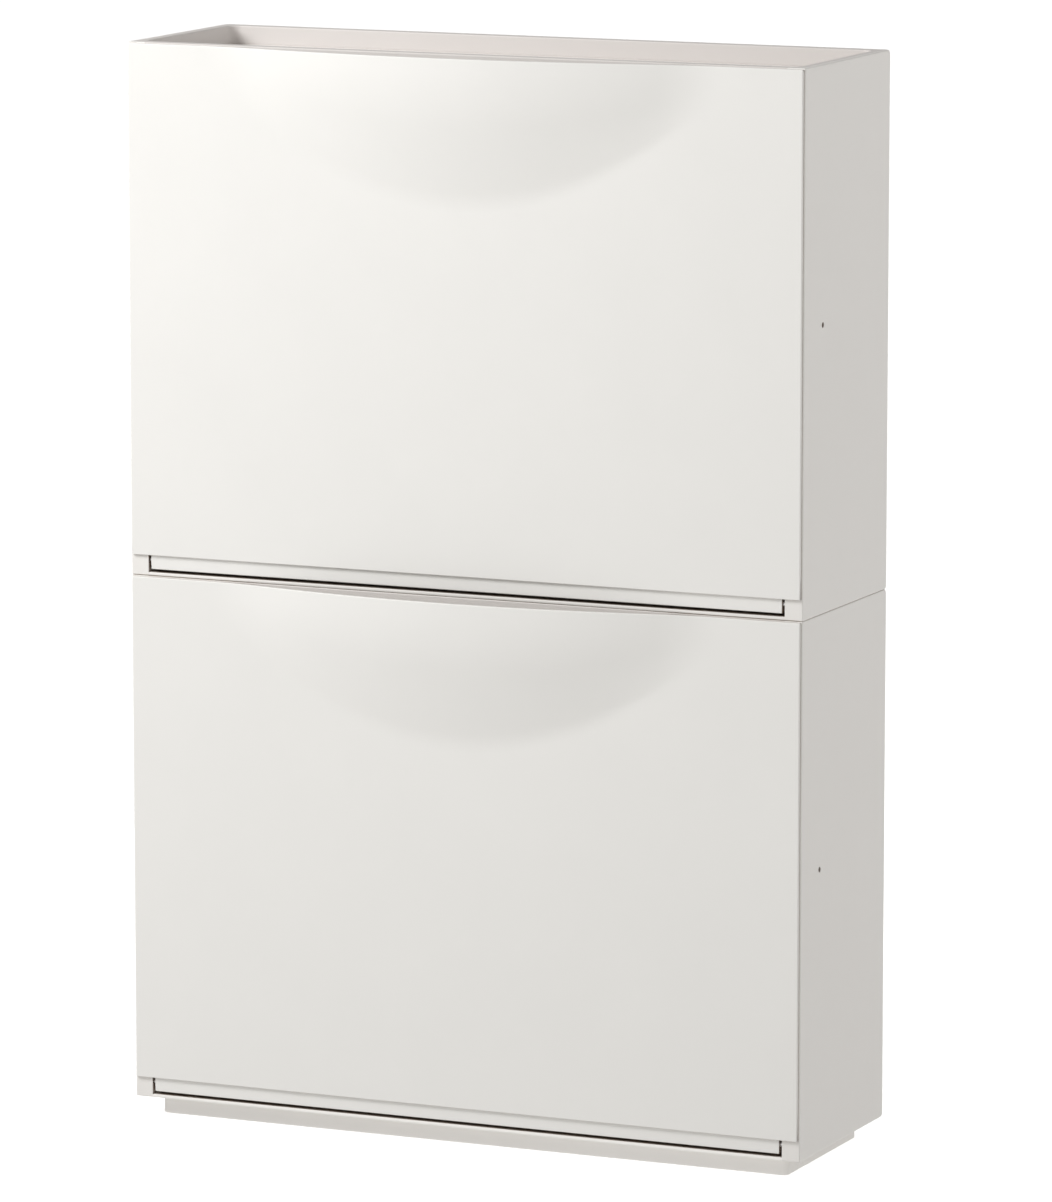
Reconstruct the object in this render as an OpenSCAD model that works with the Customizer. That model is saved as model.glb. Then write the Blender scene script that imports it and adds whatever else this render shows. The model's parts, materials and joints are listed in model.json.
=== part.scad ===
// Wall-mounted tilt-out shoe cabinet: two identical moulded units stacked, the upper
// unit's plinth nested in the tray on top of the lower one.
// Origin: floor level, in the middle of the overall width and depth. Front faces -Y.
// Left and right are as seen from the front, so left is -X.

/* [Cabinet] */
// Width of a unit
cabinet_w = 510; // [420:1:620]
// Depth of a unit's frame, without its door
frame_d = 156; // [130:1:200]
// Height of a unit's frame, from its base to its top rim
body_h = 376.5; // [310:0.5:460]
// Height of the plinth under each unit
plinth_h = 13.5; // [8:0.5:24]
// Thickness of the moulded walls
wall = 2.5; // [2:0.1:3.5]

/* [Frame] */
// Width of the front posts, which the door overlaps
post_w = 13.2; // [10:0.1:18]
// Width of the rim round the tray
rim_w = 9; // [7:0.5:14]
// Radius of the tray's inner corners
tray_corner_r = 8; // [3:0.5:20]
// Depth that the tray's floor leaves under a nested plinth
nest_gap = 0.5; // [0.3:0.1:2]
// Height of the apron under the front of the rim
apron_h = 26.5; // [20:0.5:40]
// Radius of the back corners of the side panels
back_corner_r = 3; // [1:0.5:8]
// Setback of the plinth from the sides
plinth_side_inset = 14.3; // [12:0.1:30]
// Setback of the plinth from the front
plinth_front_inset = 12.9; // [12:0.1:30]
// Setback of the plinth from the back
plinth_back_inset = 13.6; // [12:0.1:30]
// Radius of the plinth's corners
plinth_corner_r = 5; // [3:0.5:12]

/* [Door] */
// Thickness of the door panel
door_t = 2.5; // [2:0.1:3.5]
// Setback of the door panel's side edges from the frame's sides
door_side_inset = 1.3; // [0.5:0.1:3]
// Setback of the door panel's top edge from the top rim
door_top_gap = 0.9; // [0.5:0.1:3]
// Height of the door panel's bottom edge above the base
door_bottom = 14.9; // [12:0.1:20]
// Gap between the tongue below the door panel and the frame round it
tongue_gap = 2.2; // [1:0.1:3]
// How far the pull lip bows out of the door panel
lip_out = 21.5; // [10:0.5:30]
// How far the pull lip reaches down from the door's top edge
lip_drop = 108; // [80:1:130]
// Half the width of the area that the pull lip shapes
lip_half_w = 215; // [195:1:240]
// Width by which the door frame and its cheeks clear the posts
cheek_gap = 1; // [0.5:0.1:2]
// Thickness of the door's cheeks
cheek_t = 2.2; // [1.8:0.1:3]

/* [Hinge and stop] */
// Distance of the hinge axis behind the front of the frame
hinge_y = 4.5; // [4.2:0.1:6]
// Height of the hinge axis above the base
hinge_z = 11.2; // [10.5:0.1:12]
// Radius of the hinge pins
hinge_pin_r = 2.5; // [2:0.1:2.8]
// Angle through which a door opens
open_angle = 32; // [20:1:33]
// Angle of the stop pins about the hinge axis, back from upright
stop_angle = 8.8; // [7:0.1:12]
// Gap between the closed door's cheeks and the back wall
cheek_back_gap = 10.7; // [4:0.1:20]
// Radius of the stop pins
stop_pin_r = 2; // [1.5:0.1:3]
// Radial play of a turning pin in its bore
run_fit = 0.08; // [0.03:0.01:0.1]
// Radial play of a pin pressed into its bore
press_fit = 0.02; // [0:0.01:0.02]

/* [Shoe shelf] */
// Distance of the shelf's back edge behind the front of the frame
shelf_back = 100; // [80:1:104]
// Height of the upstand along the shelf's back edge
shelf_lip_h = 33; // [15:1:40]

/* [Wall fixing] */
// Distance between the screw holes across a unit
screw_span_x = 400; // [300:1:440]
// Depth of the upper screw holes below the tray's floor
screw_high_drop = 40; // [20:1:80]
// Height of the lower screw holes above the base
screw_low_z = 60; // [50:1:70]
// Radius of the screw holes
screw_r = 2.75; // [2:0.05:3.5]

/* [Hidden] */
$fn = 64;

// Places shared by the pieces. In a unit's own frame Y is 0 at the front of the posts and
// Z is 0 at the underside of the base.
half_w = cabinet_w / 2;
overall_d = frame_d + door_t + lip_out;
front_y = lip_out + door_t - overall_d / 2;
inner_half_w = half_w - wall;
inner_back = frame_d - wall;
post_half_w = half_w - post_w;
tray_depth = plinth_h + nest_gap;
tray_floor_z = body_h - tray_depth - wall;
screw_heights = [screw_low_z, tray_floor_z - screw_high_drop];
cut = 1;

// Ribs and ledges inside the frame
rib_t = 2;
rib_d = 3;
rib_end_gap = 10;
ledge_d = 6.5;
back_flange_w = 6.5;
side_rib_count = 3;
back_rib_count = 5;
plinth_rib_count = 2;
plinth_rib_lift = 2;

// Hinge blocks and stop bosses on the side panels
block_d = 14;
block_top = 24;
hinge_bore_l = 9;
pin_end_gap = 0.5;
boss_r = 5;
stop_recess = 6;
stop_head_r = 4.5;
stop_head_t = 2.2;
stop_head_gap = 0.6;
screw_boss_r = 9;

// Door
panel_half_w = half_w - door_side_inset;
panel_top = body_h - door_top_gap;
panel_chamfer = 1;
rail_bottom = wall + tongue_gap;
rail_top = 22;
rail_d = 12;
rail_round = 0.8;
rail_half_w = post_half_w - tongue_gap;
rail_bore_l = 14;
cheek_x = post_half_w - cheek_gap - cheek_t;
door_rib_t = 2.5;
door_rib_d = 8;
door_rib_end_gap = 4;
lip_rib_gap = 12;
mid_rib_x = cheek_x / 3;

// Stop slot in the cheeks, an arc about the hinge axis. The cheeks are as large as the
// frame's depth takes, and the stop pins lie on the arc that this leaves.
slot_play = 0.4;
slot_half_w = stop_pin_r + slot_play;
slot_end_step = 0.1;
slot_edge = 6.5;
slot_end_angle = 3.2;
cheek_angle = stop_angle + open_angle + slot_end_angle;
cheek_r = (inner_back - cheek_back_gap - hinge_y) / sin(cheek_angle);
stop_radius = cheek_r - slot_half_w - slot_edge;
stop_y = hinge_y + stop_radius * sin(stop_angle);
stop_z = hinge_z + stop_radius * cos(stop_angle);
shelf_margin = 7;
cheek_lobe_r = norm([shelf_back - hinge_y, rail_top + shelf_lip_h - hinge_z]) + shelf_margin;
arc_facets = 180;

// Shelf
shelf_t = 2.5;
shelf_front = door_rib_d + 0.5;
drain_count = 7;
drain_l = 44;
drain_w = 6;
drain_corner_r = 2.9;

// Pull lip: in plan a parabola that ends in two flares, and in section a curve whose slope
// grows, stays even and fades out at the flat face. The shares are of the lip's drop.
arch_half = 170;
arch_join = 150;
arch_end = arch_join + (pow(arch_half, 2) - pow(arch_join, 2)) / arch_join;
arch_tail = arch_join / (pow(arch_half, 2) * (arch_end - arch_join));
fall_start = 0.07;
fall_even = 0.45;
fall_fade = 0.87;
fall_total = (fall_even - fall_start) / 2 + (fall_fade - fall_even) + (1 - fall_fade) / 2;
panel_cols = 32;
panel_rows = 16;
grid_margin = 1;

function arch(x) =
    abs(x) <= arch_join ? 1 - pow(x / arch_half, 2) :
    abs(x) < arch_end ? arch_tail * pow(arch_end - abs(x), 2) : 0;

function fallen(t) =
    t <= fall_start ? 0 :
    t <= fall_even ? pow(t - fall_start, 2) / (fall_even - fall_start) / 2 :
    t <= fall_fade ? (fall_even - fall_start) / 2 + t - fall_even :
    t < 1 ? fall_total - pow(1 - t, 2) / (1 - fall_fade) / 2 : fall_total;

function lip_reach(x) = lip_drop * (1 - pow(x / lip_half_w, 2));

function lip(x, z) =
    abs(x) >= arch_end ? 0 :
    lip_out * arch(x) * (1 - fallen((panel_top - z) / lip_reach(x)) / fall_total);

// Grid lines of the door panel: one at each edge, the rest spread over the pull lip
function col_x(i, edge) =
    i == 0 ? -edge :
    i == panel_cols ? edge :
    (2 * (i - 1) / (panel_cols - 2) - 1) * (arch_end + grid_margin);

function row_z(j, bottom, top) =
    j == 0 ? bottom :
    j == panel_rows ? top :
    panel_top - lip_drop * (1 - (j - 1) / (panel_rows - 1));

// A profile drawn as (depth, height), extruded across the cabinet from x0
module across(x0, length) {
    translate([x0, 0, 0]) rotate([90, 0, 90]) linear_extrude(length) children();
}

module pin_across(r, x0, length, y, z) {
    translate([x0, y, z]) rotate([0, 90, 0]) cylinder(r = r, h = length);
}

module pin_back(r, y0, length, x, z) {
    translate([x, y0, z]) rotate([-90, 0, 0]) cylinder(r = r, h = length);
}

module block(x0, x1, y0, y1, z0, z1) {
    translate([x0, y0, z0]) cube([x1 - x0, y1 - y0, z1 - z0]);
}

// A rectangle from (x0, y0) to (x1, y1) with round corners
module round_rect(x0, y0, x1, y1, r) {
    translate([x0 + r, y0]) square([x1 - x0 - 2 * r, y1 - y0]);
    translate([x0, y0 + r]) square([x1 - x0, y1 - y0 - 2 * r]);
    for (x = [x0 + r, x1 - r]) for (y = [y0 + r, y1 - r]) translate([x, y]) circle(r);
}

module both_sides() {
    children();
    mirror([1, 0, 0]) children();
}

// Puts a piece into the lower (0) or the upper (1) unit
module in_unit(level) {
    translate([0, front_y, plinth_h + level * body_h]) children();
}

// Base plate with the plinth under it
module base_panel() color("whitesmoke") {
    block(-post_half_w, post_half_w, 0, inner_back, 0, wall);
    block(-inner_half_w, inner_half_w, wall, inner_back, 0, wall);
    plinth_x = half_w - plinth_side_inset;
    plinth_back = frame_d - plinth_back_inset;
    translate([0, 0, -plinth_h]) linear_extrude(plinth_h) difference() {
        round_rect(-plinth_x, plinth_front_inset, plinth_x, plinth_back, plinth_corner_r);
        round_rect(-plinth_x + wall, plinth_front_inset + wall, plinth_x - wall,
            plinth_back - wall, plinth_corner_r - wall);
    }
    for (i = [1 : plinth_rib_count]) {
        x = plinth_x * (2 * i / (plinth_rib_count + 1) - 1);
        block(x - rib_t / 2, x + rib_t / 2, plinth_front_inset + rib_t, plinth_back - rib_t,
            plinth_rib_lift - plinth_h, 0);
    }
}

// Back wall with ribs and four screw bosses
module back_panel() color("whitesmoke") difference() {
    union() {
        block(-inner_half_w, inner_half_w, inner_back, frame_d, 0, body_h);
        rib_top = tray_floor_z - rib_end_gap;
        for (i = [1 : back_rib_count]) {
            x = inner_half_w * (2 * i / (back_rib_count + 1) - 1);
            block(x - rib_t / 2, x + rib_t / 2, inner_back - rib_d, inner_back,
                rib_end_gap, rib_top);
        }
        for (x = [-1, 1]) for (z = screw_heights)
            pin_back(screw_boss_r, inner_back - rib_d, rib_d, x * screw_span_x / 2, z);
    }
    for (x = [-1, 1]) for (z = screw_heights)
        pin_back(screw_r, inner_back - rib_d - cut, wall + rib_d + 2 * cut,
            x * screw_span_x / 2, z);
}

// Side wall on the right, with its post, back flange, ribs, hinge block and stop boss
module side_panel() color("gainsboro") difference() {
    union() {
        across(inner_half_w, wall) {
            square([frame_d - back_corner_r, body_h]);
            translate([0, back_corner_r]) square([frame_d, body_h - 2 * back_corner_r]);
            for (z = [back_corner_r, body_h - back_corner_r])
                translate([frame_d - back_corner_r, z]) circle(back_corner_r);
        }
        block(post_half_w, inner_half_w, 0, wall, 0, body_h);
        block(inner_half_w - back_flange_w, inner_half_w, inner_back - wall, inner_back,
            wall, body_h - 2 * wall);
        block(inner_half_w - ledge_d, inner_half_w, rim_w, inner_back - rim_w,
            tray_floor_z - wall, tray_floor_z);
        for (i = [1 : side_rib_count]) {
            z = i * tray_floor_z / (side_rib_count + 1);
            block(inner_half_w - ledge_d, inner_half_w, stop_y + boss_r + rib_end_gap,
                inner_back - wall, z - rib_t / 2, z + rib_t / 2);
        }
        block(post_half_w, inner_half_w, 0, block_d, wall, block_top);
        pin_across(boss_r, post_half_w, post_w - wall, stop_y, stop_z);
    }
    pin_across(hinge_pin_r + run_fit, post_half_w - cut, hinge_bore_l + cut, hinge_y, hinge_z);
    pin_across(stop_pin_r + press_fit, post_half_w - cut, post_w + 2 * cut, stop_y, stop_z);
}

// Top tray: a recess with a rim between the walls, and an apron between the posts
module top_tray() color("whitesmoke") difference() {
    union() {
        block(-half_w + rim_w - wall, half_w - rim_w + wall, rim_w - wall,
            frame_d - rim_w + wall, tray_floor_z, body_h);
        block(-inner_half_w, inner_half_w, wall, inner_back, body_h - wall, body_h);
        block(-post_half_w, post_half_w, 0, wall, body_h - apron_h, body_h);
    }
    translate([0, 0, tray_floor_z + wall]) linear_extrude(tray_depth + cut)
        round_rect(-half_w + rim_w, rim_w, half_w - rim_w, frame_d - rim_w, tray_corner_r);
}

// Two pins with heads, pressed into the side panels' bosses from inside. The head keeps
// the cheek beside the wall, and the shank runs in the cheek's slot.
module stop_pins() color("silver") both_sides() {
    head_x = cheek_x - stop_head_gap - stop_head_t;
    pin_across(stop_head_r, head_x, stop_head_t, stop_y, stop_z);
    pin_across(stop_pin_r, head_x, half_w - stop_recess - head_x, stop_y, stop_z);
}

// Two plain pins, pressed into the door frame's rail, that turn in the hinge blocks
module hinge_pins() color("silver") both_sides() {
    pin_across(hinge_pin_r, rail_half_w - rail_bore_l,
        rail_bore_l + tongue_gap + hinge_bore_l - pin_end_gap, hinge_y, hinge_z);
}

// Places of the door panel's points, in layers: front face, chamfered rim, back face
function panel_at(layer, i, j) =
    (layer * (panel_cols + 1) + i) * (panel_rows + 1) + j;

function panel_point(layer, i, j) =
    let (inset = layer == 0 ? panel_chamfer : 0,
        forward = layer == 0 ? door_t : layer == 1 ? door_t - panel_chamfer : 0,
        x = col_x(i, panel_half_w - inset),
        z = row_z(j, door_bottom + inset, panel_top - inset))
    [x, -lip(x, z) - forward, z];

// Where the grid's border runs, anticlockwise as seen from the front
panel_border = concat(
    [for (i = [0 : panel_cols - 1]) [i, 0]],
    [for (j = [0 : panel_rows - 1]) [panel_cols, j]],
    [for (i = [panel_cols : -1 : 1]) [i, panel_rows]],
    [for (j = [panel_rows : -1 : 1]) [0, j]]);

function panel_face(layer, i, j) = [
    [panel_at(layer, i, j), panel_at(layer, i, j + 1), panel_at(layer, i + 1, j + 1)],
    [panel_at(layer, i, j), panel_at(layer, i + 1, j + 1), panel_at(layer, i + 1, j)]];

function panel_edge(layer, here, next) = [
    [panel_at(layer, here[0], here[1]), panel_at(layer, next[0], next[1]),
        panel_at(layer + 1, next[0], next[1])],
    [panel_at(layer, here[0], here[1]), panel_at(layer + 1, next[0], next[1]),
        panel_at(layer + 1, here[0], here[1])]];

function turned(faces) = [for (f = faces) [f[2], f[1], f[0]]];

// Door skin with its bowed pull lip
module door_panel() {
    points = [for (layer = [0 : 2]) for (i = [0 : panel_cols]) for (j = [0 : panel_rows])
        panel_point(layer, i, j)];
    fronts = [for (i = [0 : panel_cols - 1]) for (j = [0 : panel_rows - 1])
        each panel_face(0, i, j)];
    backs = [for (i = [0 : panel_cols - 1]) for (j = [0 : panel_rows - 1])
        each turned(panel_face(2, i, j))];
    around = len(panel_border);
    edges = [for (layer = [0, 1]) for (k = [0 : around - 1])
        each panel_edge(layer, panel_border[k], panel_border[(k + 1) % around])];
    color("white") polyhedron(points, concat(fronts, backs, edges), convexity = 6);
}

// Stiffening frame behind the door skin. Its bottom rail is the tongue below the door.
module door_frame() color("white") difference() {
    union() {
        across(-rail_half_w, 2 * rail_half_w) {
            translate([rail_round, rail_bottom])
                square([rail_d - rail_round, rail_top - rail_bottom]);
            translate([0, rail_bottom + rail_round])
                square([rail_d, rail_top - rail_bottom - rail_round]);
            translate([rail_round, rail_bottom + rail_round]) circle(rail_round);
        }
        rib_top = panel_top - lip_drop - lip_rib_gap;
        both_sides() {
            block(cheek_x - door_rib_t, cheek_x, 0, door_rib_d, rail_top - rail_round,
                body_h - apron_h - door_rib_end_gap);
            block(mid_rib_x, mid_rib_x + door_rib_t, 0, door_rib_d, rail_top - rail_round,
                rib_top);
        }
        block(-cheek_x + rail_round, cheek_x - rail_round, 0, door_rib_d,
            rib_top - door_rib_t, rib_top);
    }
    both_sides() pin_across(hinge_pin_r + press_fit, rail_half_w - rail_bore_l,
        rail_bore_l + cut, hinge_y, hinge_z);
}

// Cheek on the right: a sector plate about the hinge axis with the stop's arc slot
module door_cheek() color("gainsboro") across(cheek_x, cheek_t) {
    translate([hinge_y, hinge_z]) difference() {
        union() {
            intersection() {
                circle(cheek_r, $fn = arc_facets);
                polygon([[-hinge_y, rail_top - hinge_z], [-hinge_y, cheek_r],
                    [cheek_r * tan(cheek_angle), cheek_r],
                    [(rail_top - hinge_z) * tan(cheek_angle), rail_top - hinge_z]]);
            }
            intersection() {
                circle(cheek_lobe_r, $fn = arc_facets);
                translate([-hinge_y, rail_top - hinge_z]) square(cheek_lobe_r + hinge_y);
            }
        }
        intersection() {
            difference() {
                circle(stop_radius + slot_half_w, $fn = arc_facets);
                circle(stop_radius - slot_half_w, $fn = arc_facets);
            }
            polygon([[0, 0], for (a = [0, open_angle / 2, open_angle])
                2 * cheek_r * [sin(stop_angle + a), cos(stop_angle + a)]]);
        }
        for (a = [0, open_angle])
            translate(stop_radius * [sin(stop_angle + a), cos(stop_angle + a)])
                circle(slot_half_w - slot_end_step);
    }
}

// Shelf between the cheeks that the shoes stand on, with an upstand and drain slots
module shoe_shelf() color("gainsboro") difference() {
    union() {
        block(-cheek_x, cheek_x, shelf_front, shelf_back, rail_top, rail_top + shelf_t);
        block(-cheek_x, cheek_x, shelf_back - shelf_t, shelf_back, rail_top,
            rail_top + shelf_lip_h);
    }
    pitch = 2 * cheek_x / (drain_count + 1);
    middle = (rail_d + shelf_back) / 2;
    for (i = [1 : drain_count]) translate([-cheek_x + i * pitch, middle, rail_top - cut])
        linear_extrude(shelf_t + 2 * cut)
            round_rect(-drain_w / 2, -drain_l / 2, drain_w / 2, drain_l / 2, drain_corner_r);
}

in_unit(0) base_panel();  // lower_base_panel
in_unit(0) back_panel();  // lower_back_panel
in_unit(0) mirror([1, 0, 0]) side_panel();  // lower_side_panel_left
in_unit(0) side_panel();  // lower_side_panel_right
in_unit(0) top_tray();  // lower_top_tray
in_unit(0) stop_pins();  // lower_stop_pins
in_unit(0) hinge_pins();  // lower_hinge_pins
in_unit(0) door_panel();  // lower_door_panel
in_unit(0) door_frame();  // lower_door_frame
in_unit(0) mirror([1, 0, 0]) door_cheek();  // lower_door_cheek_left
in_unit(0) door_cheek();  // lower_door_cheek_right
in_unit(0) shoe_shelf();  // lower_shoe_shelf
in_unit(1) base_panel();  // upper_base_panel
in_unit(1) back_panel();  // upper_back_panel
in_unit(1) mirror([1, 0, 0]) side_panel();  // upper_side_panel_left
in_unit(1) side_panel();  // upper_side_panel_right
in_unit(1) top_tray();  // upper_top_tray
in_unit(1) stop_pins();  // upper_stop_pins
in_unit(1) hinge_pins();  // upper_hinge_pins
in_unit(1) door_panel();  // upper_door_panel
in_unit(1) door_frame();  // upper_door_frame
in_unit(1) mirror([1, 0, 0]) door_cheek();  // upper_door_cheek_left
in_unit(1) door_cheek();  // upper_door_cheek_right
in_unit(1) shoe_shelf();  // upper_shoe_shelf
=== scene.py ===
"""Looks of a two-unit tilt-out shoe cabinet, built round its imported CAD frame."""

import json
import math

import bmesh
import bpy
from mathutils import Euler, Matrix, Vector
from mathutils.bvhtree import BVHTree


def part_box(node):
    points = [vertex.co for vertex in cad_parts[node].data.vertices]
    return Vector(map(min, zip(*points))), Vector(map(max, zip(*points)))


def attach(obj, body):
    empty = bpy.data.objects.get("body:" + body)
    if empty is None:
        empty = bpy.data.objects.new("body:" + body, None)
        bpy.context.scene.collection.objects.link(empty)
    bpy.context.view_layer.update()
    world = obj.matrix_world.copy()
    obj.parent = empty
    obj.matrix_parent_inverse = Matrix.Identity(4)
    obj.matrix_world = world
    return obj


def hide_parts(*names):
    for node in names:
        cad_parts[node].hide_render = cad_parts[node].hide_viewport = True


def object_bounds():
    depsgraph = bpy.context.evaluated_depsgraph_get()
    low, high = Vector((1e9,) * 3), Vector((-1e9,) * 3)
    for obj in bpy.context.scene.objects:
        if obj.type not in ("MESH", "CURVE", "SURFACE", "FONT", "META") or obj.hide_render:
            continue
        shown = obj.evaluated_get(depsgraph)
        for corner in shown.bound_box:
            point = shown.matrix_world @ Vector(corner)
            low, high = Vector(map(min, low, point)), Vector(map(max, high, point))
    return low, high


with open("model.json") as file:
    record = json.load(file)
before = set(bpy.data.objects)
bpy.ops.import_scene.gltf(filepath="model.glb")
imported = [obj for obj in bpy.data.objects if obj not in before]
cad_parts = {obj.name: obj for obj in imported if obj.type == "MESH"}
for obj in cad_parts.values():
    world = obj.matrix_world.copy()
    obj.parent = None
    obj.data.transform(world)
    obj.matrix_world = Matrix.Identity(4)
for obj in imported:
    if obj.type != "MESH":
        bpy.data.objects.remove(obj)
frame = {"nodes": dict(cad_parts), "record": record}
CAD_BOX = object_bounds()

MM = 0.001
UNITS = ("lower", "upper")

# Pull lip of the door panels, as in the CAD, in millimetres
LIP_OUT = 21.5
LIP_DROP = 108
LIP_HALF_W = 215
ARCH_HALF = 170
ARCH_JOIN = 150
ARCH_END = ARCH_JOIN + (ARCH_HALF**2 - ARCH_JOIN**2) / ARCH_JOIN
ARCH_TAIL = ARCH_JOIN / (ARCH_HALF**2 * (ARCH_END - ARCH_JOIN))
FALL_START = 0.07
FALL_EVEN = 0.45
FALL_FADE = 0.87
FALL_TOTAL = (FALL_EVEN - FALL_START) / 2 + (FALL_FADE - FALL_EVEN) + (1 - FALL_FADE) / 2

# Door panel's section and mesh density
PANEL_T = 2.5
PANEL_ROUND = 0.6
PANEL_BACK_ROUND = 0.3
ROUND_STEPS = 4
LIP_COLUMNS = 120
LIP_ROWS = 56
FLAT_ROWS = 10

# Rounding of the other pieces' edges
EDGE_R = 0.45
EDGE_R_OF = {
    "side_panel_left": 0.9,
    "side_panel_right": 0.9,
    "top_tray": 1.0,
    "base_panel": 0.9,
}
EDGE_STEPS = 4
SHARP_ANGLE = math.radians(35)
FLAT_ANGLE = math.radians(0.5)
WELD = 0.002 * MM
TOUCH = 0.05 * MM
TOUCH_SHARES = (0.02, 0.25, 0.5, 0.75, 0.98)
STOP_HOLE_R = 3 * MM

# Camera, fitted to the photographed cabinet's corners
CAMERA_AT = (2.1806, -4.8551, 1.2385)
CAMERA_TURN = math.radians(23.99)
CAMERA_TILT = math.radians(9.185)
CAMERA_LENS = 230.6
CAMERA_FAR = 100
SENSOR = 36

# Moulded plastic: mottling, grain and waves in repeats a metre, and its edges, worn smoother
# and brightened by a painted highlight
PLASTIC_IOR = 1.49
PLASTIC_SPECULAR = 0.42
MOTTLE_SCALE = 14.0
MOTTLE_SHADES = (0.975, 1.012)
MOTTLE_GLOSS = 0.05
GRAIN_SCALE = 1500.0
GRAIN_HEIGHT = 0.02 * MM
WAVE_SCALE = 9.0
WAVE_STRENGTH = 0.25
WAVE_HEIGHT = 0.05 * MM
WEAR_AND_HIGHLIGHT_REACH = 1.0 * MM
WEAR_AND_HIGHLIGHT_TURN = (0.995, 0.86)
EDGE_HIGHLIGHT_SHADE = 1.02
EDGE_HIGHLIGHT_MOST = 0.5
WEAR_GLOSS = 0.08

# Drawn steel: the lines' repeats a metre along and across the pins
LINE_SCALES = (60, 5000, 5000)
LINE_ROUGHNESS = (0.22, 0.42)
LINE_STRENGTH = 0.3
LINE_HEIGHT = 0.01 * MM

# Painted shade in the gaps and inner corners: how far it looks for a facing wall, and the
# share of open sky
GAP_DEPTH = 5 * MM
GAP_OPEN = 0.56
GAP_CLOSED = 0.36
GAP_SHADE_COLOUR = (0.30, 0.225, 0.17)

# Studio light, in metres and watts
KEY_AT = (-1.2, -1.28, 1.66)
KEY_SIZE = (0.9, 0.9)
KEY_POWER = 32.5
SIDE_AT = (1.9, 0.2, 1.7)
SIDE_SIZE = (1.5, 1.5)
SIDE_POWER = 8
GLOW_SIZE = (1.0, 0.06)
GLOW_AHEAD = 0.6
GLOW_POWER = 0.6
FLOOR_REACH = 60
FLOOR_COLOUR = (0.93, 0.93, 0.93, 1)
FLOOR_ROUGHNESS = 0.9
FLOOR_SPECULAR = 0.1
FLOOR_WASH = 2.6
WASH_ANGLE = math.radians(60)
ROOM_BELOW = 0.79
ROOM_ABOVE = 0.24
ROOM_COLOUR = (1, 0.985, 0.965)


# ---------------------------------------------------------------- door panels


def arch(x):
    x = abs(x)
    if x <= ARCH_JOIN:
        return 1 - (x / ARCH_HALF) ** 2
    if x < ARCH_END:
        return ARCH_TAIL * (ARCH_END - x) ** 2
    return 0


def fallen(t):
    if t <= FALL_START:
        return 0
    if t <= FALL_EVEN:
        return (t - FALL_START) ** 2 / (FALL_EVEN - FALL_START) / 2
    if t <= FALL_FADE:
        return (FALL_EVEN - FALL_START) / 2 + t - FALL_EVEN
    if t < 1:
        return FALL_TOTAL - (1 - t) ** 2 / (1 - FALL_FADE) / 2
    return FALL_TOTAL


def lip(x, below_top):
    """How far the panel bows forward, at x and that far below its top edge."""
    if abs(x) >= ARCH_END:
        return 0
    reach = LIP_DROP * (1 - (x / LIP_HALF_W) ** 2)
    return LIP_OUT * arch(x) * (1 - fallen(below_top / reach) / FALL_TOTAL)


def spread(start, end, count):
    return [start + (end - start) * i / count for i in range(count + 1)]


def section_layers():
    """(inset, forward) pairs round the panel's rim, from its front face to its back."""
    layers = []
    for i in range(ROUND_STEPS + 1):
        a = math.pi / 2 * i / ROUND_STEPS
        inset = PANEL_ROUND * (1 - math.sin(a))
        layers.append((inset, PANEL_T - PANEL_ROUND * (1 - math.cos(a))))
    for i in range(ROUND_STEPS + 1):
        a = math.pi / 2 * i / ROUND_STEPS
        inset = PANEL_BACK_ROUND * (1 - math.cos(a))
        layers.append((inset, PANEL_BACK_ROUND * (1 - math.sin(a))))
    return layers


def door_skin(unit):
    """The door panel with its pull lip, finer than the CAD's, and with a round rim."""
    node = f"{unit}_door_panel"
    low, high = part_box(node)
    back_y = high.y / MM
    half, bottom, top = high.x / MM, low.z / MM, high.z / MM
    side = ARCH_END + 1
    xs = [-half] + spread(-side, side, LIP_COLUMNS) + [half]
    zs = spread(bottom, top - LIP_DROP, FLAT_ROWS) + spread(top - LIP_DROP, top, LIP_ROWS)[1:]
    last_i, last_j = len(xs) - 1, len(zs) - 1

    def place(i, j, inset, forward):
        x = max(-half + inset, min(half - inset, xs[i]))
        z = max(bottom + inset, min(top - inset, zs[j]))
        return Vector((x, back_y - forward - lip(x, top - z), z)) * MM

    border = [(i, 0) for i in range(last_i)]
    border += [(last_i, j) for j in range(last_j)]
    border += [(i, last_j) for i in range(last_i, 0, -1)]
    border += [(0, j) for j in range(last_j, 0, -1)]

    bm = bmesh.new()
    layers = section_layers()
    grids = []
    for inset, forward in (layers[0], layers[-1]):
        grid = {}
        for i in range(last_i + 1):
            for j in range(last_j + 1):
                grid[i, j] = bm.verts.new(place(i, j, inset, forward))
        grids.append(grid)
    rings = [[grids[0][ij] for ij in border]]
    for inset, forward in layers[1:-1]:
        rings.append([bm.verts.new(place(i, j, inset, forward)) for i, j in border])
    rings.append([grids[1][ij] for ij in border])

    front, back = grids
    for i in range(last_i):
        for j in range(last_j):
            corners = ((i, j), (i + 1, j), (i + 1, j + 1), (i, j + 1))
            bm.faces.new([front[c] for c in corners])
            bm.faces.new([back[c] for c in reversed(corners)])
    for ring, after in zip(rings, rings[1:]):
        for k in range(len(border)):
            n = (k + 1) % len(border)
            bm.faces.new((ring[k], after[k], after[n], ring[n]))
    bmesh.ops.recalc_face_normals(bm, faces=bm.faces)
    return as_piece(bm, f"{unit}_door_skin", node)


# ------------------------------------------------------- pieces from the frame


def body_of(node):
    groups = frame["record"]["behaviour"]["bodies"]
    return next(body for body, nodes in groups.items() if node in nodes)


def slot_of(node):
    subparts = frame["record"]["subparts"]
    return next(s["material_slot"] for s in subparts if s["node"] == node)


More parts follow.
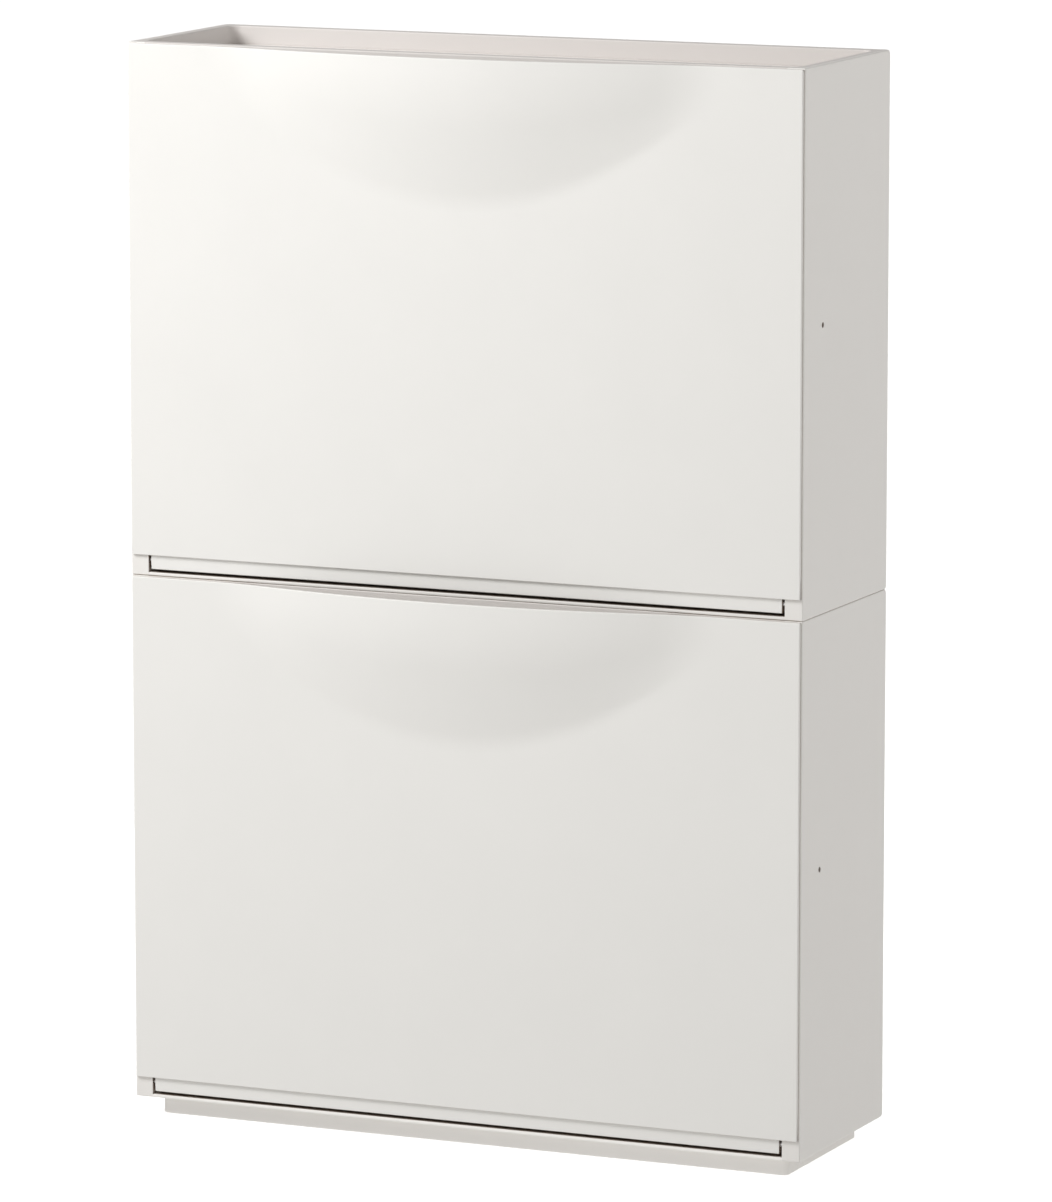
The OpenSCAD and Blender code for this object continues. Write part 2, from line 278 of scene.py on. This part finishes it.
def as_piece(bm, name, node):
    """Makes a mesh object that stands for a CAD node, with its body and its slot."""
    mesh = bpy.data.meshes.new(name)
    bm.to_mesh(mesh)
    bm.free()
    mesh.polygons.foreach_set("use_smooth", [True] * len(mesh.polygons))
    piece = bpy.data.objects.new(name, mesh)
    bpy.context.collection.objects.link(piece)
    weigh = piece.modifiers.new("face weighted normals", "WEIGHTED_NORMAL")
    weigh.keep_sharp = True
    weigh.weight = 100
    mesh.materials.append(MATERIALS[MATERIAL_OF.get(node.split("_", 1)[1], slot_of(node))])
    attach(piece, body_of(node))
    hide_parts(node)
    return piece


def welded(node):
    bm = bmesh.new()
    bm.from_mesh(frame["nodes"][node].data)
    bmesh.ops.remove_doubles(bm, verts=bm.verts, dist=WELD)
    bmesh.ops.dissolve_limit(
        bm, angle_limit=FLAT_ANGLE, verts=bm.verts, edges=bm.edges, delimit={"NORMAL"}
    )
    return bm


def touches(tree, edge):
    a, b = (v.co for v in edge.verts)
    for share in TOUCH_SHARES:
        if tree.find_nearest(a.lerp(b, share), TOUCH)[0] is not None:
            return True
    return False


def by_stop_hole(edge, stop):
    """Whether an edge belongs to the small hole that a stop pin's end lies in."""
    away = (edge.verts[0].co + edge.verts[1].co) / 2 - stop
    return math.hypot(away.y, away.z) < STOP_HOLE_R


def rounded(node, neighbours):
    """A copy of a CAD node with its free edges rounded. Edges along a seam stay sharp."""
    unit, part = node.split("_", 1)
    bm = welded(node)
    low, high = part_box(f"{unit}_stop_pins")
    stop = (low + high) / 2
    trees = []
    for name in neighbours:
        other = bmesh.new()
        other.from_mesh(frame["nodes"][name].data)
        trees.append(BVHTree.FromBMesh(other))
        other.free()
    edges = []
    for edge in bm.edges:
        if len(edge.link_faces) != 2 or edge.calc_face_angle() < SHARP_ANGLE:
            continue
        if by_stop_hole(edge, stop):
            continue
        if not any(touches(tree, edge) for tree in trees):
            edges.append(edge)
    bmesh.ops.bevel(
        bm,
        geom=edges,
        offset=EDGE_R_OF.get(part, EDGE_R) * MM,
        offset_type="OFFSET",
        segments=EDGE_STEPS,
        profile=0.5,
        affect="EDGES",
        clamp_overlap=False,
    )
    for edge in bm.edges:
        if len(edge.link_faces) == 2 and edge.calc_face_angle() > SHARP_ANGLE:
            edge.smooth = False
    return as_piece(bm, f"{node}_rounded", node)


# -------------------------------------------------------------------- materials


def add(tree, kind, **inputs):
    made = tree.nodes.new(kind)
    for name, value in inputs.items():
        made.inputs[name.replace("_", " ")].default_value = value
    return made


def spread_values(tree, source, low, high):
    """Turns a 0 to 1 value into one between low and high."""
    made = add(tree, "ShaderNodeMapRange", To_Min=low, To_Max=high)
    tree.links.new(source, made.inputs["Value"])
    return made.outputs["Result"]


def shaded(colour, share):
    return (*[min(1, c * share) for c in colour], 1)


def plastic(name, colour, roughness, grain):
    """Moulded plastic: fine grain, slow waviness, a little mottling, edges worn smoother with
    a painted highlight, and painted shade in the gaps.
    """
    mat = bpy.data.materials.new(name)
    mat.use_nodes = True
    tree = mat.node_tree
    shader = tree.nodes["Principled BSDF"]
    shader.inputs["IOR"].default_value = PLASTIC_IOR
    shader.inputs["Specular IOR Level"].default_value = PLASTIC_SPECULAR
    where = tree.nodes.new("ShaderNodeTexCoord").outputs["Object"]

    mottle = add(tree, "ShaderNodeTexNoise", Scale=MOTTLE_SCALE, Detail=4.0, Roughness=0.55)
    fine = add(tree, "ShaderNodeTexNoise", Scale=GRAIN_SCALE, Detail=2.0, Roughness=0.5)
    waves = add(tree, "ShaderNodeTexNoise", Scale=WAVE_SCALE, Detail=1.0, Roughness=0.4)
    for texture in (mottle, fine, waves):
        tree.links.new(where, texture.inputs["Vector"])

    # Where the surface turns within a millimetre, the edge is worn smoother, and its colour is
    # brightened as a painted highlight
    round_off = tree.nodes.new("ShaderNodeBevel")
    round_off.samples = 4
    round_off.inputs["Radius"].default_value = WEAR_AND_HIGHLIGHT_REACH
    facing = tree.nodes.new("ShaderNodeNewGeometry")
    turn = tree.nodes.new("ShaderNodeVectorMath")
    turn.operation = "DOT_PRODUCT"
    tree.links.new(round_off.outputs["Normal"], turn.inputs[0])
    tree.links.new(facing.outputs["Normal"], turn.inputs[1])
    wear_and_highlight = add(tree, "ShaderNodeMapRange", From_Min=WEAR_AND_HIGHLIGHT_TURN[0], From_Max=WEAR_AND_HIGHLIGHT_TURN[1])
    tree.links.new(turn.outputs["Value"], wear_and_highlight.inputs["Value"])

    shade = tree.nodes.new("ShaderNodeMix")
    shade.data_type = "RGBA"
    shade.inputs["A"].default_value = shaded(colour, MOTTLE_SHADES[0])
    shade.inputs["B"].default_value = shaded(colour, MOTTLE_SHADES[1])
    tree.links.new(mottle.outputs["Fac"], shade.inputs["Factor"])
    painted_edge_highlight = tree.nodes.new("ShaderNodeMix")
    painted_edge_highlight.data_type = "RGBA"
    painted_edge_highlight.inputs["B"].default_value = shaded(colour, EDGE_HIGHLIGHT_SHADE)
    tree.links.new(shade.outputs["Result"], painted_edge_highlight.inputs["A"])
    edge_highlight_share = spread_values(tree, wear_and_highlight.outputs["Result"], 0, EDGE_HIGHLIGHT_MOST)
    tree.links.new(edge_highlight_share, painted_edge_highlight.inputs["Factor"])

    # Painted shade: the base colour darkens towards dark brown deep in the narrow gaps and
    # inner corners between the pieces, where the ambient occlusion finds facing walls
    sky = tree.nodes.new("ShaderNodeAmbientOcclusion")
    sky.samples = 6
    sky.inputs["Distance"].default_value = GAP_DEPTH
    gap = add(tree, "ShaderNodeMapRange", From_Min=GAP_OPEN, From_Max=GAP_CLOSED)
    tree.links.new(sky.outputs["AO"], gap.inputs["Value"])
    painted_gap_shade = tree.nodes.new("ShaderNodeMix")
    painted_gap_shade.data_type = "RGBA"
    painted_gap_shade.inputs["B"].default_value = (*GAP_SHADE_COLOUR, 1)
    tree.links.new(painted_edge_highlight.outputs["Result"], painted_gap_shade.inputs["A"])
    tree.links.new(gap.outputs["Result"], painted_gap_shade.inputs["Factor"])
    tree.links.new(painted_gap_shade.outputs["Result"], shader.inputs["Base Color"])

    smooth, dull = roughness - MOTTLE_GLOSS, roughness + MOTTLE_GLOSS
    gloss = spread_values(tree, mottle.outputs["Fac"], smooth, dull)
    rubbed = tree.nodes.new("ShaderNodeMath")
    rubbed.operation = "MULTIPLY_ADD"
    rubbed.inputs[1].default_value = -WEAR_GLOSS
    tree.links.new(wear_and_highlight.outputs["Result"], rubbed.inputs[0])
    tree.links.new(gloss, rubbed.inputs[2])
    tree.links.new(rubbed.outputs["Value"], shader.inputs["Roughness"])

    slow = add(tree, "ShaderNodeBump", Strength=WAVE_STRENGTH, Distance=WAVE_HEIGHT)
    tree.links.new(waves.outputs["Fac"], slow.inputs["Height"])
    skin = add(tree, "ShaderNodeBump", Strength=grain, Distance=GRAIN_HEIGHT)
    tree.links.new(fine.outputs["Fac"], skin.inputs["Height"])
    tree.links.new(slow.outputs["Normal"], skin.inputs["Normal"])
    tree.links.new(skin.outputs["Normal"], shader.inputs["Normal"])
    return mat


def drawn_steel(name, colour):
    """Drawn wire: metal with fine lines along the pins, which lie along X."""
    mat = bpy.data.materials.new(name)
    mat.use_nodes = True
    tree = mat.node_tree
    shader = tree.nodes["Principled BSDF"]
    shader.inputs["Metallic"].default_value = 1.0
    shader.inputs["Base Color"].default_value = (*colour, 1)
    where = tree.nodes.new("ShaderNodeTexCoord").outputs["Object"]
    along = tree.nodes.new("ShaderNodeMapping")
    along.inputs["Scale"].default_value = LINE_SCALES
    tree.links.new(where, along.inputs["Vector"])
    lines = add(tree, "ShaderNodeTexNoise", Scale=1.0, Detail=3.0, Roughness=0.6)
    tree.links.new(along.outputs["Vector"], lines.inputs["Vector"])
    roughness = spread_values(tree, lines.outputs["Fac"], *LINE_ROUGHNESS)
    tree.links.new(roughness, shader.inputs["Roughness"])
    bump = add(tree, "ShaderNodeBump", Strength=LINE_STRENGTH, Distance=LINE_HEIGHT)
    tree.links.new(lines.outputs["Fac"], bump.inputs["Height"])
    tree.links.new(bump.outputs["Normal"], shader.inputs["Normal"])
    return mat


MATERIALS = {
    "door_white": plastic("door_white", (0.87, 0.861, 0.834), 0.42, 0.30),
    "frame_white": plastic("frame_white", (0.86, 0.84, 0.81), 0.46, 0.35),
    # The tray's material is darker than frame_white as painted shade for the inside of the
    # tray
    "tray_shaded_white": plastic("tray_shaded_white", (0.735, 0.70, 0.675), 0.46, 0.35),
    "inner_white": plastic("inner_white", (0.84, 0.82, 0.79), 0.50, 0.40),
    "pin_plastic": plastic("pin_plastic", (0.55, 0.55, 0.54), 0.45, 0.30),
    "pin_steel": drawn_steel("pin_steel", (0.62, 0.62, 0.62)),
}

# Pieces given a darker colour than their slot's: the top tray's colour is painted shade,
# standing in for the shade inside its recess
MATERIAL_OF = {"top_tray": "tray_shaded_white"}


# ------------------------------------------------------------------------ build


def build_pieces():
    for unit in UNITS:
        in_unit = [n for n in frame["nodes"] if n.startswith(unit)]
        skin = f"{unit}_door_panel"
        door_skin(unit)
        for node in in_unit:
            if node == skin:
                continue
            neighbours = [n for n in in_unit if n != node and body_of(n) == body_of(node)]
            rounded(node, neighbours)


def build_floor():
    level = CAD_BOX[0].z
    mesh = bpy.data.meshes.new("floor")
    bm = bmesh.new()
    corners = ((-1, -1), (1, -1), (1, 1), (-1, 1))
    bm.faces.new([bm.verts.new((x * FLOOR_REACH, y * FLOOR_REACH, level)) for x, y in corners])
    bm.to_mesh(mesh)
    bm.free()
    floor = bpy.data.objects.new("floor", mesh)
    bpy.context.collection.objects.link(floor)
    mat = bpy.data.materials.new("floor")
    mat.use_nodes = True
    shader = mat.node_tree.nodes["Principled BSDF"]
    shader.inputs["Base Color"].default_value = FLOOR_COLOUR
    shader.inputs["Roughness"].default_value = FLOOR_ROUGHNESS
    shader.inputs["Specular IOR Level"].default_value = FLOOR_SPECULAR
    mesh.materials.append(mat)
    # The room's light reaches the cabinet through it, as if thrown back by a white floor
    floor.visible_diffuse = False
    floor.visible_shadow = False
    return floor


def softbox(name, at, aim, size, power):
    data = bpy.data.lights.new(name, "AREA")
    data.shape = "RECTANGLE"
    data.size, data.size_y = size
    data.energy = power
    light = bpy.data.objects.new(name, data)
    light.location = at
    light.rotation_mode = "QUATERNION"
    light.rotation_quaternion = (Vector(aim) - Vector(at)).to_track_quat("-Z", "Y")
    bpy.context.collection.objects.link(light)
    return light


def floor_wash(floor):
    """Light from straight above that falls on the floor only, so that it stays pale."""
    lit = bpy.data.collections.new("lit by floor wash")
    lit.objects.link(floor)
    data = bpy.data.lights.new("floor wash", "SUN")
    data.energy = FLOOR_WASH
    data.angle = WASH_ANGLE
    light = bpy.data.objects.new("floor wash", data)
    light.light_linking.receiver_collection = lit
    light.light_linking.blocker_collection = lit
    bpy.context.collection.objects.link(light)


def plinth_glow(piece):
    """Light that the pale floor in front throws back under the door, onto the base only."""
    lit = bpy.data.collections.new("lit by plinth glow")
    lit.objects.link(piece)
    low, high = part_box("lower_base_panel")
    at = (high.x / 2, low.y - GLOW_AHEAD, high.z)
    light = softbox("plinth glow", at, (low + high) / 2, GLOW_SIZE, GLOW_POWER)
    light.light_linking.receiver_collection = lit


def build_light():
    """Softboxes at the upper left and the right, in a room brighter below than above."""
    low, high = CAD_BOX
    middle = (low + high) / 2
    softbox("key", KEY_AT, middle, KEY_SIZE, KEY_POWER)
    softbox("side", SIDE_AT, middle, SIDE_SIZE, SIDE_POWER)
    world = bpy.data.worlds.new("studio")
    world.use_nodes = True
    tree = world.node_tree
    way = tree.nodes.new("ShaderNodeTexCoord").outputs["Generated"]
    parts = tree.nodes.new("ShaderNodeSeparateXYZ")
    tree.links.new(way, parts.inputs["Vector"])
    height = add(tree, "ShaderNodeMapRange", From_Min=-1.0, From_Max=1.0)
    height.inputs["To Min"].default_value = ROOM_BELOW
    height.inputs["To Max"].default_value = ROOM_ABOVE
    tree.links.new(parts.outputs["Z"], height.inputs["Value"])
    back = tree.nodes["Background"]
    back.inputs["Color"].default_value = (*ROOM_COLOUR, 1)
    tree.links.new(height.outputs["Result"], back.inputs["Strength"])
    bpy.context.scene.world = world


def build_camera():
    data = bpy.data.cameras.new("camera")
    data.sensor_width = SENSOR
    data.lens = CAMERA_LENS
    data.clip_end = CAMERA_FAR
    camera = bpy.data.objects.new("camera", data)
    camera.location = CAMERA_AT
    camera.rotation_euler = Euler((math.pi / 2 - CAMERA_TILT, 0, CAMERA_TURN))
    bpy.context.collection.objects.link(camera)
    bpy.context.scene.camera = camera


build_pieces()
floor_wash(build_floor())
plinth_glow(bpy.data.objects["lower_base_panel_rounded"])
build_light()
build_camera()
bpy.context.scene.view_settings.view_transform = "Standard"
